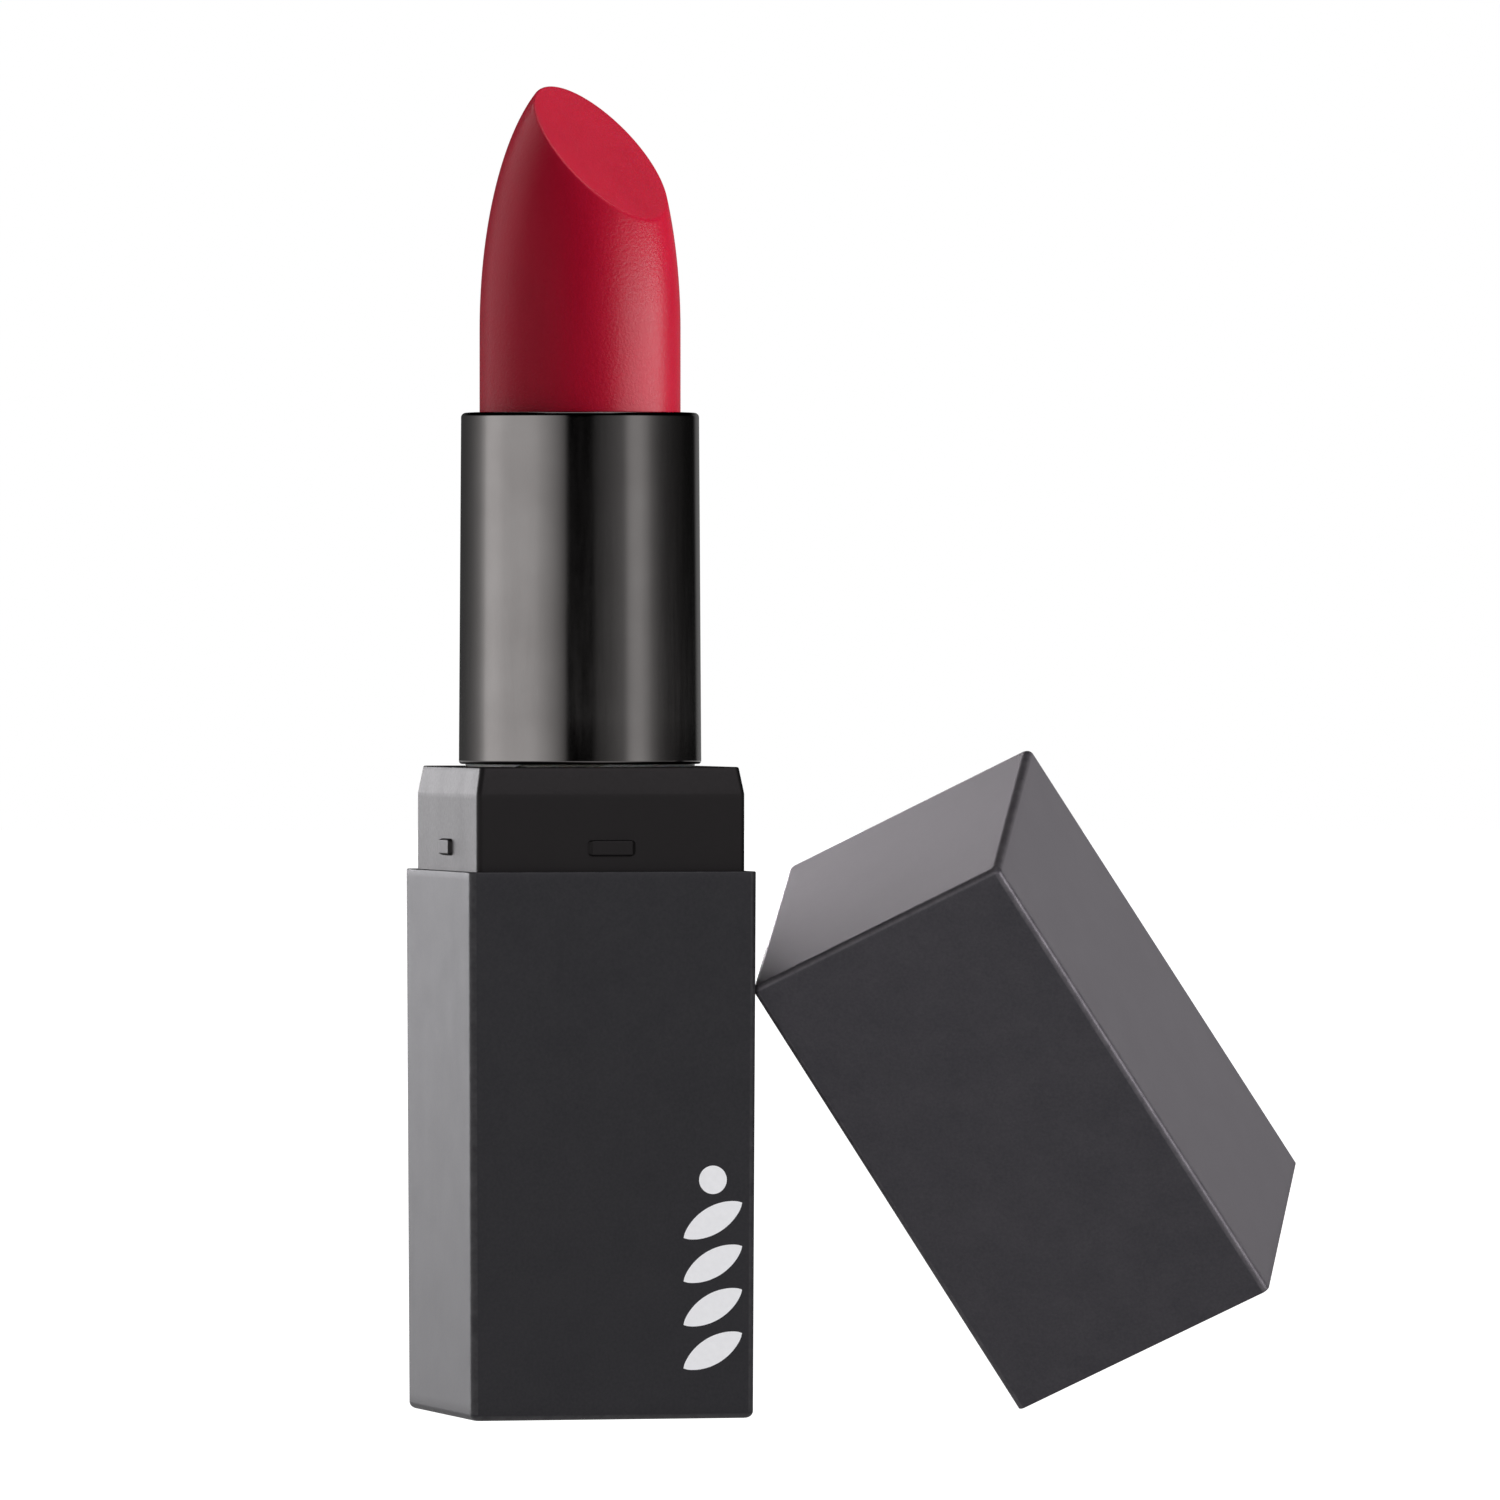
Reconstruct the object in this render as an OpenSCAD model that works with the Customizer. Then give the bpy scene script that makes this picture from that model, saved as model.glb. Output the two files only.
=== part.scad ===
// Square lipstick case with a twist-up bullet and a pull-off cap.
// Origin: centre of the base's underside. +Z up, the front of the base faces -Y.
// It is modelled twisted fully up, with the cap off and leaning on the base.

/* [Base] */
// Width of the base and the cap where they meet
joint_w = 18.65; // [17.5:0.05:19.5]
// Width of the base and the cap at their closed ends
closed_w = 18.35; // [17.2:0.05:18.8]
// Height of the base shell
base_h = 34.6; // [32:0.1:36]
// Width of the square collar that the cap grips
collar_w = 17.4; // [16.6:0.05:17.5]
// Width of the collar's top face
collar_top_w = 16.8; // [16:0.05:17]
// Height of the collar above the base shell
collar_h = 6.6; // [5.5:0.1:7.5]
// Chamfer along the edges of the square shells
edge = 0.3; // [0.15:0.05:0.5]

/* [Cap] */
// Length of the cap
cap_len = 33.55; // [33.4:0.05:36]
// Lean of the cap away from upright, in degrees
cap_lean = 36.4; // [30:0.1:45]
// Turn of the cap about its own length, in degrees
cap_roll = 44; // [40:0.5:50]
// Heading of the cap's lean, in degrees
cap_heading = 16; // [10:0.5:20]
// Place of the cap's mouth centre from front to back
cap_y = 0; // [-1:0.1:1]

/* [Bullet] */
// Radius of the wax bullet
bullet_r = 6.4; // [6.2:0.05:6.45]
// Height of the bullet's tip above the underside, before the slant is cut
bullet_top = 85.8; // [84:0.1:86.5]
// Length of the bullet's pointed stretch
nose_len = 16.8; // [14:0.1:20]
// Height at which the slanted cut crosses the bullet's axis
slant_z = 82.1; // [80:0.1:83]
// Tilt of the slanted cut, in degrees
slant_tilt = 46.7; // [35:0.1:55]
// Direction that the slanted cut faces, in degrees from +X
slant_heading = -54.2; // [-90:0.1:0]

/* [Mechanism] */
// Outer radius of the metal sleeve at its top rim
sleeve_top_r = 7.58; // [7.56:0.01:7.62]
// Outer radius of the metal sleeve at its foot
sleeve_foot_r = 7.72; // [7.64:0.01:7.8]
// Height of the metal sleeve's rim
sleeve_top = 63.7; // [63.6:0.05:64.5]
// How far the bullet winds down
travel = 23; // [21:0.5:23]
// How far the sleeve turns over that travel, in degrees
turn = 630; // [540:10:720]

/* [Hidden] */
$fn = 96;

cut = 0.5;                               // how far a cutting solid runs past the face that it cuts
collar_top = base_h + collar_h;

// Base
floor_t = 1.2;                           // floor of the base shell
cavity_w = 17.5;                         // square inside of the base shell
collar_taper_h = 1.7;                    // height of the collar's sloping top
bore_r = 7.5;                            // round bore down the inner base
label_w = 12;
label_t = 0.1;
label_gap = 0.05;
weight_r = 7.4;
weight_z = floor_t + 0.1;
weight_h = 8;
core_r = 0.9;                            // moulding core holes in the inner base's corners
core_at = 7.15;
core_z = [floor_t, 30];

// Snap bumps on the collar and the pockets in the cap that they click into
bump_w = 3.1;
bump_h = 1.0;
bump_out = 0.25;
bump_z = base_h + 1.5;
pocket_gap = 0.15;

// Cap
cap_cavity_w = 17.6;
cap_end_t = 1.25;
liner_w = cap_cavity_w - 0.1;
liner_r = 8.1;                           // round bore of the liner
liner_mouth = 7.4;                       // the liner starts this far inside the mouth
liner_end_t = 0.9;
rest_gap = 0.06;                         // between the cap's corner and the base it leans on

// Fork tube, fixed in the base
fork_in_r = 6.5;
fork_out_r = 6.95;
fork_foot_z = [9.6, 24];
fork_foot_r = 7.45;
fork_foot_in_r = 6.2;
fork_deck_t = 2;
fork_top = 62.7;
fork_slot_w = 1.5;
ring_z = 25.6;
ring_r = 0.22;
ring_seat = 0.25;

// Cam sleeve, which turns with the metal sleeve
cam_in_r = 7.0;
cam_out_r = 7.3;
cam_z = [24.3, 62.5];
cam_ring_r = 7.18;                       // wider bore round the damping ring
cam_ring_z = 26.6;
groove_half = 21.5;                      // half the groove's width round the sleeve, in degrees
groove_end = 0.85;                       // how far a groove runs past the lug's last place
deg_per_mm = turn / travel;

// Metal sleeve
sleeve_in_r = 7.35;
sleeve_foot = collar_top + 0.15;
rim_in_r = 6.62;
rim_t = 0.42;
rim_round = 0.3;

// Carrier cup and its lugs
cup_z = [50.5, 61.7];
cup_floor_t = 0.8;
cup_in_r = 5.95;
lug_z = 52;
lug_r = 0.6;
lug_tip_r = 7.2;
stem_r = 5.9;
stem_gap = 0.05;

// Direction cosines of the leaning cap: how its own x, y and z count towards world x and z.
lean_x = [cos(cap_heading) * cos(cap_lean) * cos(cap_roll) + sin(cap_heading) * sin(cap_roll),
          cos(cap_heading) * cos(cap_lean) * sin(cap_roll) - sin(cap_heading) * cos(cap_roll),
          -cos(cap_heading) * sin(cap_lean)];
lean_z = [sin(cap_lean) * cos(cap_roll), sin(cap_lean) * sin(cap_roll), cos(cap_lean)];
// The mouth's lowest corner stands on the floor, and the closed end's corner meets the base.
foot_drop = joint_w / 2 * (lean_z.x + lean_z.y) - edge * min(lean_z.x, lean_z.y);
corner_reach = closed_w / 2 * (lean_x.x + lean_x.y) - cap_len * lean_x.z
               - edge * (lean_x.y - lean_x.z);
corner_height = foot_drop - closed_w / 2 * (lean_z.x + lean_z.y) + cap_len * lean_z.z;
base_half_there = (closed_w + (joint_w - closed_w) * corner_height / base_h) / 2;
cap_at = [base_half_there + rest_gap + corner_reach, cap_y, foot_drop];

// A square shell's outer form, closed end down: its sides open by the moulding draft towards the
// mouth, its long edges and its closed end's edges are chamfered.
module square_form(w_closed, w_open, length, chamfer) {
    side = side_outline(w_closed / 2, w_open / 2, length, chamfer);
    corner_trim = chamfer / sqrt(2);
    corner = side_outline(w_closed / sqrt(2) - corner_trim, w_open / sqrt(2) - corner_trim, length, 0);
    intersection_for (a = [0, 45, 90, 135])
        rotate([90, 0, a]) linear_extrude(2 * w_open, center = true) polygon(a % 90 == 0 ? side : corner);
}

function side_outline(half_closed, half_open, length, chamfer) = chamfer > 0
    ? [[-half_closed + chamfer, 0], [half_closed - chamfer, 0], [half_closed, chamfer],
       [half_open, length], [-half_open, length], [-half_closed, chamfer]]
    : [[-half_closed, 0], [half_closed, 0], [half_open, length], [-half_open, length]];

// A square block with its centre on the axis, from z0 to z1
module square_block(w, z0, z1) {
    translate([-w / 2, -w / 2, z0]) cube([w, w, z1 - z0]);
}

// A pad with round ends on each of the four side faces, standing proud of the width w
module side_pads(w, pad_w, pad_h, proud, z) {
    for (a = [0 : 90 : 270])
        rotate([0, 0, a]) translate([0, -w / 2 + cut, z]) rotate([90, 0, 0])
            linear_extrude(proud + cut) {
                square([pad_w - pad_h, pad_h], center = true);
                for (s = [-1, 1]) translate([s * (pad_w - pad_h) / 2, 0]) circle(d = pad_h, $fn = 32);
            }
}

module outer_base() {
    color("#3a3a3e") difference() {
        square_form(closed_w, joint_w, base_h, edge);
        square_block(cavity_w, floor_t, base_h + cut);
        square_block(label_w + 2 * label_gap, -cut, label_t);
    }
}

module inner_base() {
    color("#18181a") difference() {
        union() {
            intersection() {
                square_block(collar_w, floor_t, collar_top);
                intersection_for (a = [0, 90])
                    rotate([90, 0, a]) linear_extrude(2 * collar_w, center = true) collar_side();
                rotate([0, 0, 45]) square_block((collar_w - edge) * sqrt(2), floor_t, collar_top);
            }
            side_pads(collar_w, bump_w, bump_h, bump_out, bump_z);
        }
        translate([0, 0, floor_t - cut]) cylinder(r = bore_r, h = collar_top + cut);
        for (x = [-1, 1], y = [-1, 1]) translate([x * core_at, y * core_at, core_z[0] - cut])
            cylinder(r = core_r, h = core_z[1] - core_z[0] + cut, $fn = 32);
    }
}

// The collar from the side, with its sloping top
module collar_side() {
    slope_z = collar_top - collar_taper_h;
    polygon([[-collar_w / 2, floor_t], [collar_w / 2, floor_t], [collar_w / 2, slope_z],
             [collar_top_w / 2, collar_top], [-collar_top_w / 2, collar_top], [-collar_w / 2, slope_z]]);
}

module base_weight() {
    color("silver") translate([0, 0, weight_z]) cylinder(r = weight_r, h = weight_h);
}

module base_label() {
    color("white") square_block(label_w, 0, label_t);
}

// Slotted tube that keeps the bullet from turning, on a hollow foot glued into the base
module fork_tube() {
    deck_z = fork_foot_z[1] - fork_deck_t;
    slot_z0 = lug_z - travel - lug_r - 0.3;
    slot_z1 = lug_z + lug_r + 0.3;
    color("ivory") difference() {
        union() {
            translate([0, 0, fork_foot_z[0]]) cylinder(r = fork_foot_r, h = fork_foot_z[1] - fork_foot_z[0]);
            translate([0, 0, deck_z]) cylinder(r = fork_out_r, h = fork_top - deck_z);
        }
        translate([0, 0, fork_foot_z[0] - cut]) cylinder(r = fork_foot_in_r, h = deck_z - fork_foot_z[0] + cut);
        translate([0, 0, fork_foot_z[1]]) cylinder(r = fork_in_r, h = fork_top);
        translate([-fork_foot_r, -fork_slot_w / 2, slot_z0]) cube([2 * fork_foot_r, fork_slot_w, slot_z1 - slot_z0]);
        rotate_extrude() translate([fork_out_r - ring_seat, ring_z - ring_r]) square([1, 2 * ring_r]);
    }
}

// Soft ring between the fork tube and the cam sleeve, which gives the twist its drag
module damping_ring() {
    color("dimgray") rotate_extrude()
        translate([fork_out_r - ring_seat + ring_r, ring_z]) circle(r = ring_r, $fn = 24);
}

// One helical groove's cutter: a wedge carried up the axis, turning as it climbs
module groove(start_angle) {
    z0 = lug_z - travel - groove_end;
    climb = travel + 2 * groove_end;
    inner = cam_in_r - cut;
    outer = cam_out_r + cut;
    wedge = [for (r = [inner, outer], s = (r == inner ? [-1, 0, 1] : [1, 0, -1]))
             r * [cos(s * groove_half), sin(s * groove_half)]];
    rotate([0, 0, start_angle + (z0 - lug_z) * deg_per_mm]) translate([0, 0, z0])
        linear_extrude(climb, twist = -climb * deg_per_mm, slices = 88, $fn = 3) polygon(wedge);
}

module cam_sleeve() {
    color("whitesmoke") difference() {
        translate([0, 0, cam_z[0]]) cylinder(r = cam_out_r, h = cam_z[1] - cam_z[0]);
        translate([0, 0, cam_z[0] - cut]) cylinder(r = cam_in_r, h = cam_z[1] - cam_z[0] + 2 * cut);
        translate([0, 0, cam_z[0] - cut]) cylinder(r = cam_ring_r, h = cam_ring_z - cam_z[0] + cut);
        for (a = [0, 180]) groove(a);
    }
}

// Thin drawn sleeve with a rounded rim turned in over the mechanism
module metal_sleeve() {
    rim = [for (a = [0 : 15 : 90]) [sleeve_top_r - rim_round + rim_round * cos(a),
                                    sleeve_top - rim_round + rim_round * sin(a)]];
    color("#4a4744") rotate_extrude()
        polygon(concat([[sleeve_in_r, sleeve_foot], [sleeve_foot_r, sleeve_foot]], rim,
                       [[rim_in_r, sleeve_top], [rim_in_r, sleeve_top - rim_t],
                        [sleeve_in_r, sleeve_top - rim_t]]));
}

module carrier_cup() {
    color("white") {
        difference() {
            translate([0, 0, cup_z[0]]) cylinder(r = bullet_r, h = cup_z[1] - cup_z[0]);
            translate([0, 0, cup_z[0] + cup_floor_t]) cylinder(r = cup_in_r, h = cup_z[1]);
        }
        for (a = [0, 180]) rotate([0, 0, a]) translate([cup_in_r + 0.1, 0, lug_z]) rotate([0, 90, 0])
            cylinder(r = lug_r, h = lug_tip_r - cup_in_r - 0.1, $fn = 32);
    }
}

// Wax bullet: a stem in the cup, a straight body and an elliptical nose with one slanted cut
module wax_bullet() {
    nose_z = bullet_top - nose_len;
    shoulder_z = cup_z[1] + stem_gap;
    nose = [for (a = [0 : 4 : 88]) [bullet_r * cos(a), nose_z + nose_len * sin(a)]];
    color("#b01f35") difference() {
        rotate_extrude() polygon(concat(
            [[0, cup_z[0] + cup_floor_t + stem_gap], [stem_r, cup_z[0] + cup_floor_t + stem_gap],
             [stem_r, shoulder_z], [bullet_r, shoulder_z]], nose, [[0, bullet_top]]));
        translate([0, 0, slant_z]) rotate([0, slant_tilt, slant_heading])
            translate([-nose_len, -nose_len, 0]) cube(2 * nose_len);
    }
}

// Carries the cap's own frame, mouth centre at the origin and closed end up, to where it leans
module leaning() {
    translate(cap_at) rotate([0, 0, cap_heading]) rotate([0, -cap_lean, 0]) rotate([0, 0, -cap_roll])
        children();
}

module outer_cap() {
    color("#3a3a3e") leaning() difference() {
        translate([0, 0, cap_len]) mirror([0, 0, 1]) square_form(closed_w, joint_w, cap_len, edge);
        square_block(cap_cavity_w, -cut, cap_len - cap_end_t);
        side_pads(cap_cavity_w, bump_w + 2 * pocket_gap, bump_h + 2 * pocket_gap, bump_out, bump_z - base_h);
    }
}

// Liner glued inside the cap, whose round bore clears the sleeve
module inner_cap() {
    liner_top = cap_len - cap_end_t;
    color("#202022") leaning() difference() {
        square_block(liner_w, liner_mouth, liner_top);
        translate([0, 0, liner_mouth - cut]) cylinder(r = liner_r, h = liner_top - liner_end_t - liner_mouth + cut);
    }
}

outer_base();
inner_base();
base_weight();
base_label();
fork_tube();
damping_ring();
cam_sleeve();
metal_sleeve();
carrier_cup();
wax_bullet();
outer_cap();
inner_cap();
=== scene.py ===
"""A square lipstick case, twisted up, with its cap leaning on it.

The sections follow the case as it is put together: base shell, front print, collar, weight and label,
twist mechanism, metal sleeve, wax bullet, cap and liner, and then the floor, the light and the camera.
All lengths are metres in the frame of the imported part: +Z up, the front of the base towards -Y.
"""

import math

import bpy
import numpy as np
from mathutils import Matrix, Vector


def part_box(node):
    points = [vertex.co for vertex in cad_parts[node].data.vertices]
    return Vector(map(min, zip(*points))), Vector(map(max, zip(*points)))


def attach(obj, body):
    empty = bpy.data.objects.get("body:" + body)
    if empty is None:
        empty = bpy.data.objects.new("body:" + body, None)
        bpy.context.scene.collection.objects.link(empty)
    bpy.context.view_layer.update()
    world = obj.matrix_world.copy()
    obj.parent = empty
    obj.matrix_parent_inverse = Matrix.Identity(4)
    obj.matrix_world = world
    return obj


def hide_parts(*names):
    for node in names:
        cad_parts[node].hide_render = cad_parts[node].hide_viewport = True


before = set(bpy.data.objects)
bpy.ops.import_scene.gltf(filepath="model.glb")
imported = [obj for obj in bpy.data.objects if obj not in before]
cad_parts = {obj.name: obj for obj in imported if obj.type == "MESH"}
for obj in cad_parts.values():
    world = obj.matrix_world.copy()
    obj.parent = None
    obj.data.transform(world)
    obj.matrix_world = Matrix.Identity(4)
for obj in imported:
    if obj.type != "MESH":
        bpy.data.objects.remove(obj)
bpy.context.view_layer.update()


# --- Base shell ---------------------------------------------------------------------------------
# The square outer shell that the fingers hold, open at the top. It is injection moulded, so its sides
# open by a slight draft towards the joint line, and it is sprayed with a soft-touch matte black lacquer.

MM = 0.001


def square_rings(half, corner, along, arc=8):
    """Square outlines with round corners, anticlockwise from above, one row for each half-width.

    A side runs through the places in along, as shares of its straight stretch from -1 to 1, and then
    turns through a quarter circle of radius corner: (straight + corner cos t, straight + corner sin t).
    """
    half, corner = np.atleast_1d(half)[:, None], np.atleast_1d(corner)[:, None]
    straight = half - corner
    t = np.linspace(0, np.pi / 2, arc + 2)[1:-1]
    across = np.concatenate([np.repeat(half, len(along), 1), straight + corner * np.cos(t)], 1)
    up = np.concatenate([straight * along, straight + corner * np.sin(t)], 1)
    quarters = [(across, up), (-up, across), (-across, -up), (up, -across)]
    return np.concatenate([q[0] for q in quarters], 1), np.concatenate([q[1] for q in quarters], 1)


def lofted(name, x, y, z, loop=False):
    """A closed skin through rings of points, one ring a row, as a mesh object.

    Point i of ring r is joined by quads to point i+1 and to ring r+1. The first and last rings close
    on a point at their middle, or on each other where loop is true.
    """
    rings, n = x.shape
    points = np.stack([x, y, np.broadcast_to(z, x.shape)], -1).reshape(-1, 3)
    r, i = np.meshgrid(np.arange(rings if loop else rings - 1), np.arange(n), indexing="ij")
    j, s = (i + 1) % n, (r + 1) % rings
    faces = np.stack([r * n + i, r * n + j, s * n + j, s * n + i], -1).reshape(-1, 4).tolist()
    if not loop:
        i, j = i[0], j[0]
        top = (rings - 1) * n
        faces += np.stack([np.full(n, rings * n), j, i], -1).tolist()
        faces += np.stack([top + i, top + j, np.full(n, rings * n + 1)], -1).tolist()
        points = np.concatenate([points, [points[:n].mean(0), points[-n:].mean(0)]])
    return skin(name, points, faces)


def skin(name, points, faces, smooth=True):
    """A mesh object of these points and faces, in the scene."""
    mesh = bpy.data.meshes.new(name)
    mesh.from_pydata(points.tolist(), [], faces)
    mesh.polygons.foreach_set("use_smooth", np.full(len(mesh.polygons), smooth))
    mesh.update()
    piece = bpy.data.objects.new(name, mesh)
    bpy.context.scene.collection.objects.link(piece)
    return piece


def note_places(piece, name, values):
    """Keeps one number a point under name, for a material to read. End points get 0."""
    kept = np.zeros(len(piece.data.vertices), np.float32)
    kept[:values.size] = values.ravel()
    piece.data.attributes.new(name, "FLOAT", "POINT").data.foreach_set("value", kept)


def bend(centre, start, stop, radius, steps=6):
    """Section points round an arc: centre + radius (cos a, sin a), a from start to stop degrees."""
    a = np.radians(np.linspace(start, stop, steps))
    return np.stack([centre[0] + radius * np.cos(a), centre[1] + radius * np.sin(a)], -1)


class Finish:
    """A material as it is built up: a Principled shader, and short ways to put patterns on it."""

    def __init__(self, name, sockets):
        self.material = bpy.data.materials.new(name)
        self.material.use_nodes = True
        self.nodes, self.links = self.material.node_tree.nodes, self.material.node_tree.links
        self.shader = self.nodes["Principled BSDF"]
        for socket, value in sockets.items():
            self.shader.inputs[socket].default_value = value
        self.place = self.nodes.new("ShaderNodeTexCoord").outputs["Object"]

    def node(self, kind, **settings):
        """A new node of this kind."""
        made = self.nodes.new("ShaderNode" + kind)
        for key, value in settings.items():
            setattr(made, key, value)
        return made

    def put(self, socket, value):
        """Links an output to a socket, or sets the socket to a number or a colour."""
        if isinstance(value, bpy.types.NodeSocket):
            self.links.new(value, socket)
        else:
            socket.default_value = (*value, 1) if isinstance(value, tuple) else value

    def noise(self, size, detail=3, roughness=0.55, stretch=(1, 1, 1)):
        """Noise with blotches about size across, longer along an axis where stretch is below 1."""
        mapping = self.node("Mapping")
        mapping.inputs["Scale"].default_value = stretch
        self.links.new(self.place, mapping.inputs["Vector"])
        made = self.node("TexNoise")
        for key, value in (("Scale", 1 / size), ("Detail", detail), ("Roughness", roughness)):
            made.inputs[key].default_value = value
        self.links.new(mapping.outputs["Vector"], made.inputs["Vector"])
        return made.outputs["Fac"]

    def spread(self, source, low, high, start=0.3, stop=0.7):
        """source from start to stop becomes low to high, and stays there outside."""
        made = self.node("MapRange")
        for key, value in (("From Min", start), ("From Max", stop), ("To Min", low), ("To Max", high)):
            made.inputs[key].default_value = value
        self.links.new(source, made.inputs["Value"])
        return made.outputs["Result"]

    def reckon(self, operation, *values):
        """The result of one sum on outputs and numbers."""
        made = self.node("Math", operation=operation)
        for socket, value in zip(made.inputs, values):
            self.put(socket, value)
        return made.outputs["Value"]

    def tint(self, share, one, other):
        """Colour one where share is 0, other where it is 1."""
        made = self.node("Mix", data_type="RGBA")
        for socket, value in zip((made.inputs[0], made.inputs[6], made.inputs[7]), (share, one, other)):
            self.put(socket, value)
        return made.outputs[2]

    def noted(self, name):
        """The number that note_places kept under name."""
        return self.node("Attribute", attribute_name=name).outputs["Fac"]

    def bump(self, *layers):
        """Stacks height patterns on the shader's normal, each with its own depth."""
        normal = None
        for height, depth in layers:
            made = self.node("Bump")
            made.inputs["Strength"].default_value = 1
            made.inputs["Distance"].default_value = depth
            self.links.new(height, made.inputs["Height"])
            if normal:
                self.links.new(normal, made.inputs["Normal"])
            normal = made.outputs["Normal"]
        self.links.new(normal, self.shader.inputs["Normal"])

    def feed(self, **sources):
        """Links outputs to the shader's sockets, each named with _ for its spaces."""
        for socket, source in sources.items():
            self.links.new(source, self.shader.inputs[socket.replace("_", " ")])

    def on(self, *pieces):
        """Gives these pieces this material alone."""
        for piece in pieces:
            piece.data.materials.clear()
            piece.data.materials.append(self.material)


base_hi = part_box("outer_base")[1]
joint_half, base_top = base_hi.x, base_hi.z
closed_half = 9.175 * MM
cavity_half = 8.75 * MM
shell_round, cavity_round, label_round = 0.45 * MM, 0.3 * MM, 0.05 * MM
floor_z = 1.2 * MM
lip = 0.07 * MM
label_half, label_t = 6.05 * MM, 0.1 * MM
near_ends = np.array([0.985, 0.94, 0.8, 0.5])


def along_side(fine=()):
    """Places along a straight side: close together by its ends, and at the places in fine."""
    return np.unique(np.round(np.concatenate([-near_ends, [-1, 0, 1], near_ends, fine]), 5))


outside = bend((closed_half - shell_round, shell_round), -90, 0, shell_round, 8)
wall_z = np.array([0.03, 0.1, 0.3, 0.5, 0.7, 0.9, 0.985]) * base_top
wall = np.stack([np.interp(wall_z, [0, base_top], [closed_half, joint_half]), wall_z], -1)
outside[:, 0] += (joint_half - closed_half) * outside[:, 1] / base_top
section = np.concatenate([
    [[0.5 * label_half, label_t], [0.99 * label_half, label_t], [label_half, label_t], [label_half, 0],
     [1.01 * label_half, 0], [closed_half - 1.15 * shell_round, 0]],
    outside, wall,
    bend((joint_half - lip, base_top - lip), 0, 90, lip, 5),
    bend((cavity_half + lip, base_top - lip), 90, 180, lip, 5),
    [[cavity_half, base_top - 2 * lip], [cavity_half, base_top - 5 * MM], [cavity_half, floor_z + 0.05 * MM],
     [cavity_half, floor_z], [cavity_half - 0.05 * MM, floor_z], [0.3 * cavity_half, floor_z]]])
corner = np.interp(section[:, 0], [label_half, cavity_half, closed_half],
                   [label_round, cavity_round, shell_round])
along = along_side()
x, y = square_rings(section[:, 0], corner, along)
base_shell = lofted("base_shell", x, y, section[:, 1:2])


def wear_and_highlight_places(along, section, half, rims):
    """1 on a square shell's long edges, where its section is at least half wide, and on the given rims: the
    places painted lighter, partly as wear and partly as a painted highlight.
    """
    corners = np.tile(np.concatenate([np.zeros(len(along)), np.ones(8)]), 4)
    return np.maximum(corners * (section[:, :1] >= half), np.isin(np.arange(len(section)), rims)[:, None])


# In the section, points 8 to 11 turn round the foot's edge and 22 to 29 go over the lip.
note_places(base_shell, "wear_and_highlight", wear_and_highlight_places(along, section, closed_half, [*range(8, 12), *range(22, 30)]))

soft_touch = Finish("soft_touch_black", {"Roughness": 0.52, "IOR": 1.48, "Specular Tint": (0.97, 0.95, 1, 1)})
mottle = soft_touch.noise(2.6 * MM, 4, 0.6)
speck = soft_touch.noise(0.2 * MM, 3, 0.7)
tone = soft_touch.reckon("ADD", soft_touch.spread(mottle, 0, 0.35), soft_touch.spread(speck, 0, 0.65))
# Long edges and rims are painted lighter, partly as wear and partly as a painted highlight along their
# roundings; the same mask makes them a little glossier.
rubbed_and_highlit = soft_touch.reckon("MULTIPLY", soft_touch.noted("wear_and_highlight"),
                           soft_touch.spread(soft_touch.noise(0.8 * MM, 5), 0.15, 0.6))
lacquer = soft_touch.tint(tone, (0.0105, 0.0107, 0.0135), (0.0255, 0.0245, 0.0275))
soft_touch.feed(Base_Color=soft_touch.tint(rubbed_and_highlit, lacquer, (0.075, 0.073, 0.076)))
haze = soft_touch.reckon("ADD", soft_touch.spread(mottle, 0.5, 0.53), soft_touch.spread(speck, -0.02, 0.02))
soft_touch.feed(Roughness=soft_touch.reckon("SUBTRACT", haze, soft_touch.reckon("MULTIPLY", rubbed_and_highlit, 0.12)))
soft_touch.bump((soft_touch.noise(0.05 * MM, 2), 0.0009 * MM), (soft_touch.noise(0.24 * MM, 3), 0.003 * MM))
soft_touch.on(base_shell)
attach(base_shell, "base")
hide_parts("outer_base")


# --- Front print --------------------------------------------------------------------------------
# White ink pad-printed on the front of the base, low on the right: a column of plain slanted petals
# with a dot above them. The ink stands a hair proud of the lacquer.

ink_t = 0.01 * MM
print_x, print_z = 6.45 * MM, 4.3 * MM
petal_length, petal_width, petal_step, petal_slant = 4.4 * MM, 1.7 * MM, 2.75 * MM, math.radians(30)
dot_r, dot_rise = 0.9 * MM, 3.93 * petal_step


def petal(centre, length, width, slant):
    """A pointed oval: half-width (width / 2)(1 - t^2)^0.8 at t along its length, turned by slant."""
    t = np.linspace(-1, 1, 25)
    side = width / 2 * (1 - t ** 2) ** 0.8
    u = np.concatenate([t, t[-2:0:-1]]) * length / 2
    v = np.concatenate([-side, side[-2:0:-1]])
    return np.stack([centre[0] + u * math.cos(slant) - v * math.sin(slant),
                     centre[1] + u * math.sin(slant) + v * math.cos(slant)], -1)


turn = np.linspace(0, 2 * np.pi, 48, endpoint=False)
marks = [petal((print_x, print_z + k * petal_step), petal_length, petal_width, petal_slant) for k in range(4)]
marks.append(np.stack([print_x + dot_r * np.cos(turn), print_z + dot_rise + dot_r * np.sin(turn)], -1))
points, faces, start = [], [], 0
for outline in marks:
    n = len(outline)
    front = -np.interp(outline[:, 1], [0, base_top], [closed_half, joint_half])
    points += [np.stack([outline[:, 0], front - side * ink_t, outline[:, 1]], -1) for side in (1, -1)]
    i = np.arange(n)
    j = (i + 1) % n
    faces += [(start + i).tolist(), (start + n + i[::-1]).tolist()]
    faces += (start + np.stack([i, i + n, j + n, j], -1)).tolist()
    start += 2 * n
front_print = skin("front_print", np.concatenate(points), faces, smooth=False)

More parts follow.
